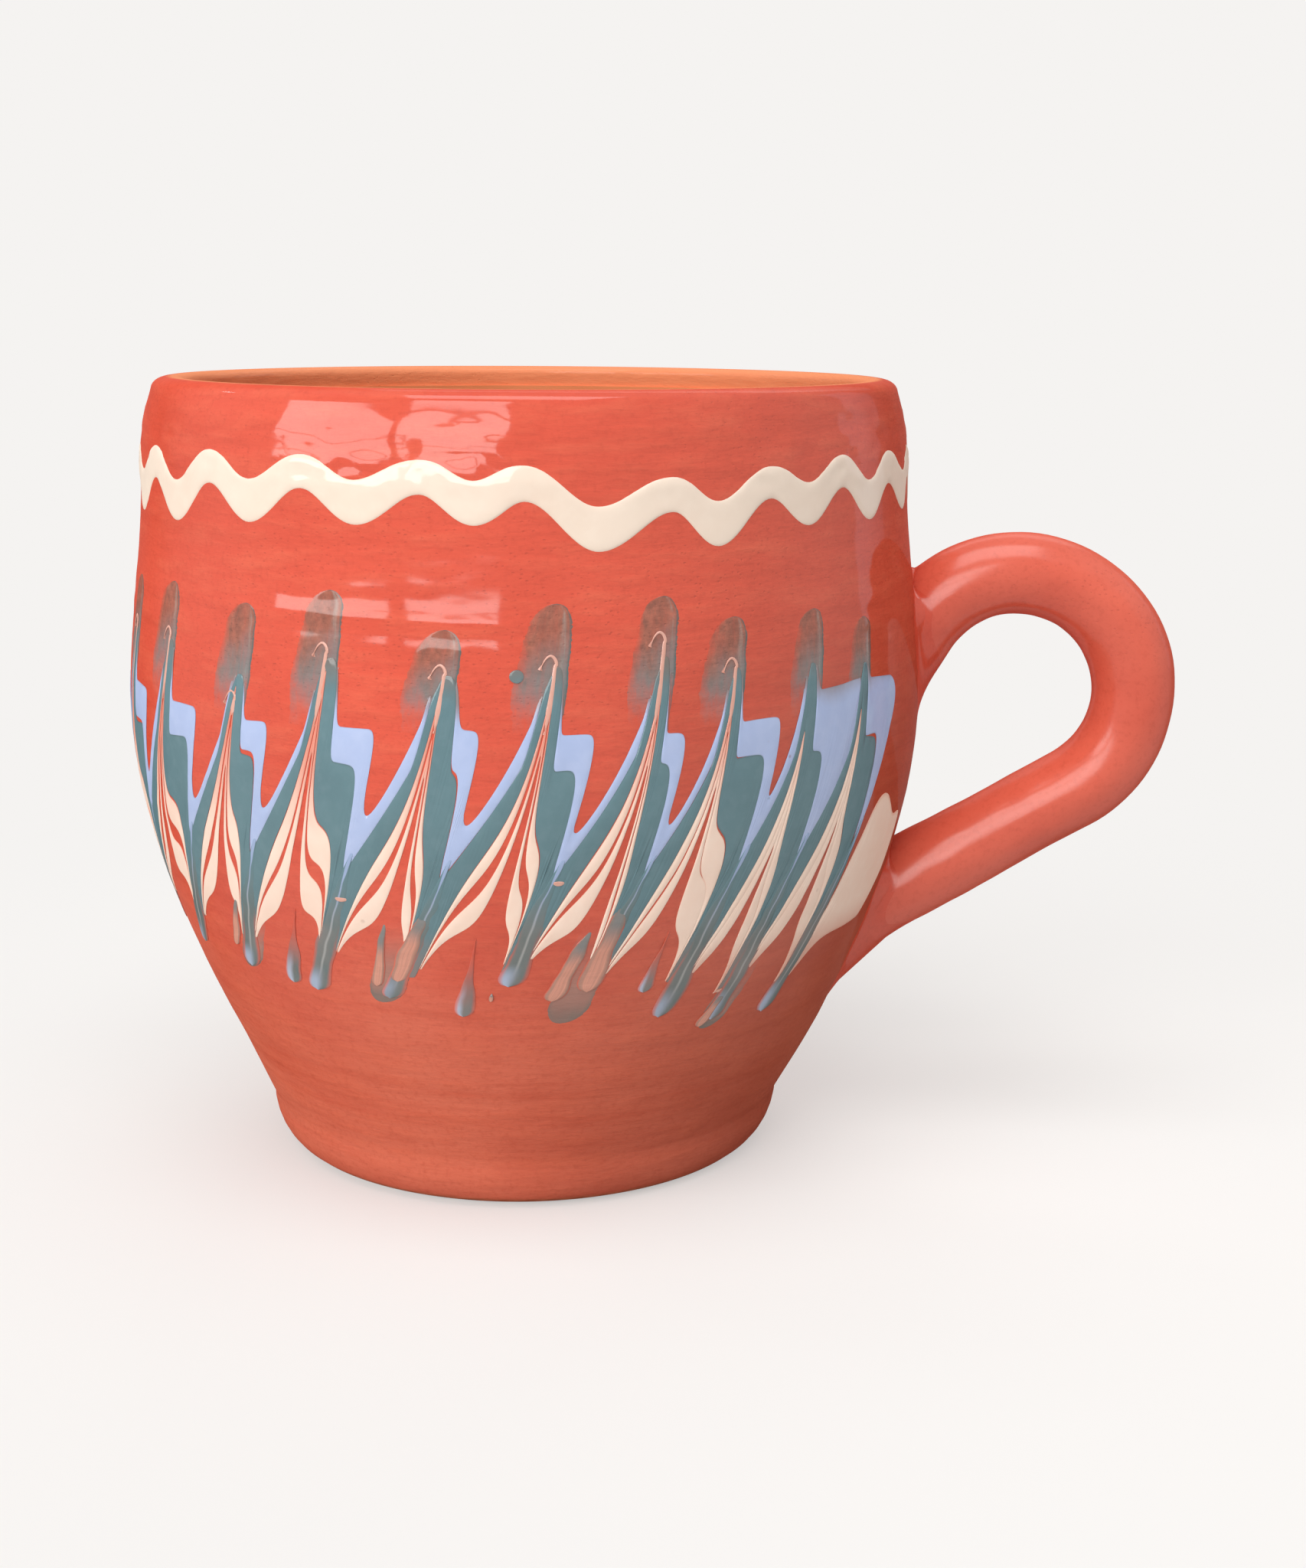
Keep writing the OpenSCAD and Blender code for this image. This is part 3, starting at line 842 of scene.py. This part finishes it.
class Mixture:  # a tree of shader nodes
    def __init__(self, tree):
        self.tree = tree

    def node(self, kind, inputs, out=0, **settings):
        made = self.tree.nodes.new("ShaderNode" + kind)
        for key, value in settings.items():
            setattr(made, key, value)
        for key, value in inputs.items():
            self.feed(made.inputs[key], value)
        return Wire(self, made.outputs[out])

    def feed(self, socket, value):
        if isinstance(value, Wire):
            self.tree.links.new(value.socket, socket)
        else:
            socket.default_value = tint(value) if isinstance(value, str) else value

    def shown(self):  # where the eye looks, straight or in a reflection
        rays = [self.node("LightPath", {}, ray)
                for ray in ("Is Camera Ray", "Is Glossy Ray", "Is Transmission Ray")]
        return rays[0].math("MAXIMUM", rays[1]).math("MAXIMUM", rays[2])

    def blend(self, share, a, b):
        return self.node("MixShader", {0: share, 1: a, 2: b})


class Finish(Mixture):
    def __init__(self, name):
        self.material = bpy.data.materials.new(name)
        self.material.use_nodes = True
        super().__init__(self.material.node_tree)
        self.shader = self.tree.nodes["Principled BSDF"]
        self.output = self.tree.nodes["Material Output"]

    def set(self, **values):
        for key, value in values.items():
            self.feed(self.shader.inputs[key.replace("_", " ")], value)

    def mix(self, share, a, b):
        return self.node("Mix", {0: share, 6: a, 7: b}, 2, data_type="RGBA")

    def coords(self, stretch=(1, 1, 1), kind="Object"):
        base = self.node("TexCoord", {}, kind)
        if stretch == (1, 1, 1):
            return base
        return self.node("Mapping", {"Vector": base, "Scale": stretch})

    def axis(self, k):  # x, y or z in millimetres
        return self.node("SeparateXYZ", {0: self.coords()}, k) * 1000

    def uv(self):
        return [self.node("SeparateXYZ", {0: self.coords(kind="UV")}, k) for k in (0, 1)]

    def distance(self, point):
        return self.node("VectorMath", {0: self.coords(), 1: point}, "Value", operation="DISTANCE")

    def cloud(self, scale, detail=3, rough=0.55, stretch=(1, 1, 1), kind="Object"):
        return self.node("TexNoise", {"Vector": self.coords(stretch, kind), "Scale": scale,
                                      "Detail": detail, "Roughness": rough})

    def spots(self, scale, stretch=(1, 1, 1)):
        return self.node("TexVoronoi", {"Vector": self.coords(stretch), "Scale": scale})

    def bump(self, height, depth, strength):
        return self.node("Bump", {"Height": height, "Distance": depth * mm, "Strength": strength})


def glazed(finish, coat=1.0, soft=0.07):  # the thin old glaze loses its shine towards a glancing view
    glance = finish.node("LayerWeight", {"Blend": 0.5}, "Facing")
    finish.set(Specular_IOR_Level=0.0, Coat_Roughness=soft, Coat_IOR=1.45)
    finish.set(Coat_Weight=(1 - glance.above(0.5, 0.25) * 0.94) * coat)


def clayLook(clay, upper, lower, paintedShade=0.0, wheel=1.0):
    x, z = clay.axis(0), clay.axis(2)
    mottle = clay.cloud(48, 4, 0.6)
    brush = clay.cloud(1, 4, 0.6, (120, 120, 520))  # the slip was wiped on round the wheel
    streak = clay.cloud(1, 3, 0.6, (22, 22, 420))
    grain = clay.cloud(1500, 3, 0.65)
    colour = clay.mix((z + mottle * 12).above(36, 16), lower, upper)
    colour = clay.mix((mottle - 0.42) * 1.2, colour, "BC3A24")
    colour = clay.mix((brush - 0.48) * (1.1 * wheel), colour, "EC7757")
    colour = clay.mix((streak - 0.5) * (1.2 * wheel), colour, "BE432C")
    colour = clay.mix((grain - 0.5) * 0.9, colour, "A93724")
    coarse = z.above(52, 10) * clay.cloud(30, 3).above(0.5, 0.14)  # where the glaze crawled into pinholes
    pits = (0.17 - clay.spots(1300, (1, 1, 1.5))).above(0.0, 0.08) * coarse
    colour = clay.mix(pits * 0.14, colour, "8E3424")
    paintedShadeMask = (x + mottle * 20).above(30, 26) * (1 - z.above(58, 16) * 0.7)  # painted shade: darker low beside the handle, where the light falls off
    colour = clay.mix(paintedShadeMask * paintedShade, colour, "864E3C")
    skin = clay.cloud(330, 3, 0.55) * 0.9 + brush * (2.2 * wheel) + grain * (coarse * 0.3 + 0.1) - pits * 0.4
    return colour, mottle, skin


def redClay(name, upper, lower, coat, paintedShade=0.0, wheel=1.0, soft=0.07):
    clay = Finish(name)
    colour, mottle, skin = clayLook(clay, upper, lower, paintedShade, wheel)
    x, y, z = [clay.axis(k) for k in range(3)]
    out = (x * x + y * y).math("SQRT")
    inside = z.above(60, 5) * (1 - out.above(40.2, 0.5))  # the lining glaze is wiped over the lip
    colour = clay.mix(inside * 0.95, colour, "EB9469")
    bare = 1 - z.above(0.9, 0.4)  # the foot is left without glaze, as the wire cut it
    away = clay.distance((0.07, 0.03, 0)) * 1000
    wire = ((away + mottle * 1.5) * 2.6).math("SINE")
    colour = clay.mix(bare, colour, clay.mix(wire * 0.22 + 0.3, "C97A5C", "A85A40"))
    clay.set(Base_Color=colour, Roughness=mottle * 0.16 + 0.36 + bare * 0.4)
    glazed(clay, (z.above(coat[0], coat[1]) * 0.85 + 0.15 - bare * 0.15) * (1 - inside * 0.7), soft)
    clay.set(Normal=clay.bump(skin + wire * bare * 0.5, 0.2, 0.6))
    return clay.material


def toolFilm():
    film = Finish("toolFilm")
    colour, mottle, skin = clayLook(film, *bodyTints, paintedShadeDepth)
    across, along = film.uv()
    smoke = film.cloud(420, 5, 0.7, (1, 1, 0.45))
    speck = film.cloud(1300, 3, 0.7, (1, 1, 0.7))
    strand = film.cloud(1, 3, 0.6, (14, 2, 1), "UV")
    cover = (across + smoke * 0.4).above(0.34, 0.12) * (along + smoke * 0.3).above(0.3, 0.16)
    brown = film.mix((speck - 0.3) * 1.7, "7F5244", "B9705B")
    tone = film.mix((along + smoke * 0.5 - across * 0.3).above(0.5, 0.25), "6A8081", brown)
    colour = film.mix((cover * (smoke * 0.6 + strand * 0.5 + 0.35)).atMost(0.95), colour, tone)
    pale = 1 - abs(across + smoke * 0.2 - 0.82).above(0.05, 0.05)
    pale = pale * (smoke + strand * 0.5).above(0.78, 0.12)
    colour = film.mix(pale * 0.4, colour, "ABA69E")  # slip heaped up beside the tool
    edge = (across.above(0.83, 0.035) + along.above(0.955, 0.02) * across.above(0.3, 0.2)).atMost(1)
    colour = film.mix(edge * (0.4 + smoke * 0.6), colour, "4F5E5D")
    film.set(Base_Color=colour, Roughness=mottle * 0.16 + 0.34)
    glazed(film)
    film.set(Normal=film.bump(skin + smoke * 0.3, 0.2, 0.6))
    return film.material


def tailSlip(name, start):
    tail = Finish(name)
    clay = clayLook(tail, *bodyTints, paintedShadeDepth)[0]
    across, along = tail.uv()
    side = abs(across - 0.5)
    smoke = tail.cloud(210, 4, 0.6, (1, 1, 0.5))
    colour = tail.mix((smoke - 0.3) * 1.4, "5C6F6F", "998984")
    if start:
        foot = (1 - along.above(0.3, 0.2)) * (1 - (across + smoke * 0.4).above(0.6, 0.15))
        colour = tail.mix(foot * 0.85, colour, "B9C6DC")
        colour = tail.mix((along + smoke * 0.3).above(0.6, 0.4) * 0.95, colour, clay)  # it fades upwards
    else:
        patch = tail.cloud(45, 2, 0.5)
        head = along.above(0.62, 0.25)
        foot = (1 - along.above(0.13, 0.07)) * (1 - (across + smoke * 0.5).above(0.75, 0.25))
        colour = tail.mix(head, colour, "62828A")
        core = 1 - (side - along.above(0.88, 0.12) * 0.4).above(0.05, 0.05)  # the blue drawn out to a line
        drawn = tail.mix(head, "A9AAA8", "A5B7DE")
        colour = tail.mix(core * along.above(0.14, 0.1) * 0.8, colour, drawn)
        colour = tail.mix(foot * patch.above(0.45, 0.12) * 0.85, colour, "AFBED8")
    thin = (side + smoke * 0.14).above(0.46, 0.1) * (1 - along.above(0.36, 0.16))
    colour = tail.mix(thin * 0.75, colour, clay)  # thin at the edges
    tail.set(Base_Color=colour, Roughness=smoke * 0.2 + 0.28)
    glazed(tail)
    tail.set(Normal=tail.bump(smoke * 0.5, 0.1, 0.5))
    return tail.material


def lobeCream():
    lobe = Finish("lobeCream")
    clay, skin = clayLook(lobe, *bodyTints, paintedShadeDepth)[::2]
    across, along = lobe.uv()
    smoke = lobe.cloud(260, 4, 0.6, (1, 1, 0.5))
    side = abs(across - 0.5) + smoke * 0.12
    strand = lobe.cloud(1, 3, 0.6, (9, 1.2, 1), "UV")
    colour = lobe.mix((strand - 0.35) * 2, "E09E88", "B07C6C")
    head = (along + smoke * 0.25).above(0.7, 0.16)
    colour = lobe.mix(head * 0.85, colour, "6C7D7F")  # lost in the teal at its head
    colour = lobe.mix(side.above(0.36, 0.14) * 0.7, colour, "8C7468")  # a line of teal gathers round it
    colour = lobe.mix((side.above(0.49, 0.05) + along.above(0.95, 0.05)).atMost(1) * 0.8, colour, clay)
    lobe.set(Base_Color=colour, Roughness=smoke * 0.2 + 0.3)
    glazed(lobe)
    lobe.set(Normal=lobe.bump(skin, 0.2, 0.4))
    return lobe.material


def dragFilm():
    film = Finish("dragFilm")
    clay, mottle, skin = clayLook(film, *bodyTints, paintedShadeDepth)
    across, along = film.uv()
    smoke = film.cloud(260, 5, 0.65, (1, 1, 0.4))
    side = abs(across - 0.5)
    tone = film.mix((smoke - 0.25) * 1.4, "8E7A70", "BA8474")
    tone = film.mix((side.above(0.36, 0.1) + along.above(0.72, 0.12)).atMost(1) * 0.85, tone, "5F6E68")
    share = along.above(0.3, 0.25) * (0.6 + smoke * 0.5) * (1 - (side + smoke * 0.06).above(0.5, 0.05) * 0.85)
    film.set(Base_Color=film.mix(share.atMost(1), clay, tone), Roughness=mottle * 0.16 + 0.34)
    glazed(film)
    film.set(Normal=film.bump(skin + smoke * 0.2, 0.2, 0.5))
    return film.material


def liningGlaze():
    glaze = Finish("liningGlaze")
    mottle = glaze.cloud(40, 4, 0.6)
    streak = glaze.cloud(1, 3, 0.6, (24, 24, 300))
    colour = glaze.mix(glaze.axis(2).above(50, 45), "C2714A", "EA9A6B")
    colour = glaze.mix((mottle - 0.4) * 1.1, colour, "C0703F")
    colour = glaze.mix((streak - 0.5) * 0.8, colour, "EDAA7A")
    glaze.set(Base_Color=colour, Roughness=mottle * 0.2 + 0.3)
    glazed(glaze, 0.7)
    glaze.set(Normal=glaze.bump(streak * 0.6 + glaze.cloud(240, 3) * 0.3, 0.14, 0.5))
    return glaze.material


def slip(name, base, deep, pale, edge, thin=None, drawn=None):
    finish = Finish(name)
    rim = abs(finish.uv()[1] - 0.5).above(0.44, 0.06)
    cloudy = finish.cloud(120, 4, 0.6)
    fine = finish.cloud(700, 2, 0.5)
    colour = finish.mix((cloudy - 0.4) * 1.4, base, deep)
    colour = finish.mix((fine - 0.45) * 0.8, colour, pale)
    colour = finish.mix(rim * 0.6, colour, edge)
    # thin and drawn: [height, spread, share, colour], and for thin how far the height leans with x
    if thin:  # dragged thin towards the stroke heads
        head, spread, share, shade, lean = thin
        reach = finish.axis(2) + cloudy * 3 - finish.axis(0) * lean
        colour = finish.mix(reach.above(head + 1.5, spread) * share, colour, shade)
    if drawn:  # and mixed with clay at their feet
        foot, spread, share, shade = drawn
        reach = finish.axis(2) + cloudy * 3
        colour = finish.mix((1 - reach.above(foot + 1.5, spread)) * share, colour, shade)
    pin = (0.09 - finish.spots(380)).above(0.0, 0.04) * finish.cloud(80, 2).above(0.66, 0.05)
    colour = finish.mix(pin * 0.6, colour, "8A4A38")
    finish.set(Base_Color=colour, Roughness=cloudy * 0.2 + 0.3)
    glazed(finish)
    finish.set(Normal=finish.bump(cloudy * 0.5 + fine * 0.25 - pin * 0.7, 0.1, 0.5))
    return finish.material


def paperFloor():
    freshStart()
    bpy.ops.mesh.primitive_plane_add(size=6, location=(0, 0, -0.05 * mm))
    floor = bpy.context.object
    floor.name = "floor"
    paper = Finish("floorPaper")
    seen = paper.shown()
    plain = paper.node("Emission", {"Color": (*studio["paper"], 1)})
    shade = paper.node("BsdfDiffuse", {"Color": paper.mix(seen, studio["lit"], studio["shown"])})
    share = seen * (paper.distance((0.03, 0, 0)).above(0.12, 0.08) * 0.5 + 0.5)  # a shadow near the mug
    seenFloor = paper.blend(share, shade, plain)
    below = paper.node("NewGeometry", {}, "Backfacing")  # clear from below and open under the foot
    below = below.math("MAXIMUM", 1 - paper.distance((0, 0, 0)).above(studio["opening"], 0.0003))
    clear = paper.node("BsdfTransparent", {})
    paper.feed(paper.output.inputs["Surface"], paper.blend(below, seenFloor, clear))
    floor.data.materials.append(paper.material)


def setSky():
    world = bpy.data.worlds.new("studio")
    bpy.context.scene.world = world
    world.use_nodes = True
    world.node_tree.nodes.clear()
    sky = Mixture(world.node_tree)
    light = sky.node("Background", {"Strength": studio["sky"]})
    paper = sky.node("Background", {"Color": (*studio["paper"], 1)})
    out = world.node_tree.nodes.new("ShaderNodeOutputWorld")
    sky.feed(out.inputs[0], sky.blend(sky.shown(), light, paper))


setCamera()
setLamps()
setSky()
paperFloor()
print("studio set")

bodyTints, paintedShadeDepth = ("DA553E", "DB7259"), 0.5  # above and below, and how far painted shade darkens them low beside the handle
bodyRed = redClay("bodyRed", *bodyTints, (26, 14), paintedShadeDepth)
handleRed = redClay("handleRed", "DF6650", "DF6650", (-20, 1), 0, 0.15, 0.2)
lutingRed = redClay("lutingRed", "D95A44", "D95A44", (-20, 1), 0, 0.15, 0.2)
trailedCream = slip("trailedCream", "F0DECD", "EAD2BF", "F7E8D8", "E6C1AA")
creamSlip = slip("creamSlip", "FADFCD", "F3D0BC", "FDEADB", "EDB79F",
                 (51, 7, 0.9, "E0826D", 0.08), (31, 2.5, 0.7, "D99B86"))
hookSlip = slip("hookSlip", "DDA797", "CF9483", "E8BCAD", "BD7F6E")
blueSlip = slip("blueSlip", "AFBFE4", "A0B2DA", "C2CEEC", "93A4C4", (58.8, 1.5, 0.9, "8B7A74", 0))
tealSlip = slip("tealSlip", "62828A", "55727A", "769199", "586E72",
                (62, 2.6, 0.9, "7C6D63", 0), (33, 3, 0.75, "8F7A72"))
print("finishes mixed")

handOver(throwBody(), bodyRed, "clay", "body")
handOver(glazeInside(), liningGlaze(), "lining_glaze", "glaze_lining")
handOver(bendHandle(), handleRed, "handle_clay", "handle")
handOver(pressLuting("upperLuting", True), lutingRed, "luting_slip", "upper_luting")
handOver(pressLuting("lowerLuting", False), lutingRed, "luting_slip", "lower_luting")
handOver(trailWave(), trailedCream, "cream_slip", "wavy_line")
handOver(trailBand("blueSlip"), blueSlip, "blue_slip", "blue_slip")
handOver(trailBand("tealSlip"), tealSlip, "teal_slip", "teal_slip")
handOver(trailBand("upperCream"), creamSlip, "cream_slip", "upper_cream_slip")
handOver(trailBand("lowerCream"), creamSlip, "cream_slip", "lower_cream_slip")
handOver(wipeFilms(), toolFilm(), "teal_slip")
handOver(pullHooks(), hookSlip, "cream_slip")
handOver(dragTails(), tailSlip("tailSlip", False), "teal_slip")
handOver(joinAs("startMarks", straightStrips("comets", 0.2)), tailSlip("startSlip", True), "teal_slip")
handOver(joinAs("tealDrops", dropStrips("drops")), tealSlip, "teal_slip")
handOver(spreadDrags(), dragFilm(), "teal_slip")
handOver(joinAs("draggedLobes", straightStrips("lobes", 0.7, 0.05)), lobeCream(), "cream_slip")

bpy.context.scene.view_settings.view_transform = "Standard"
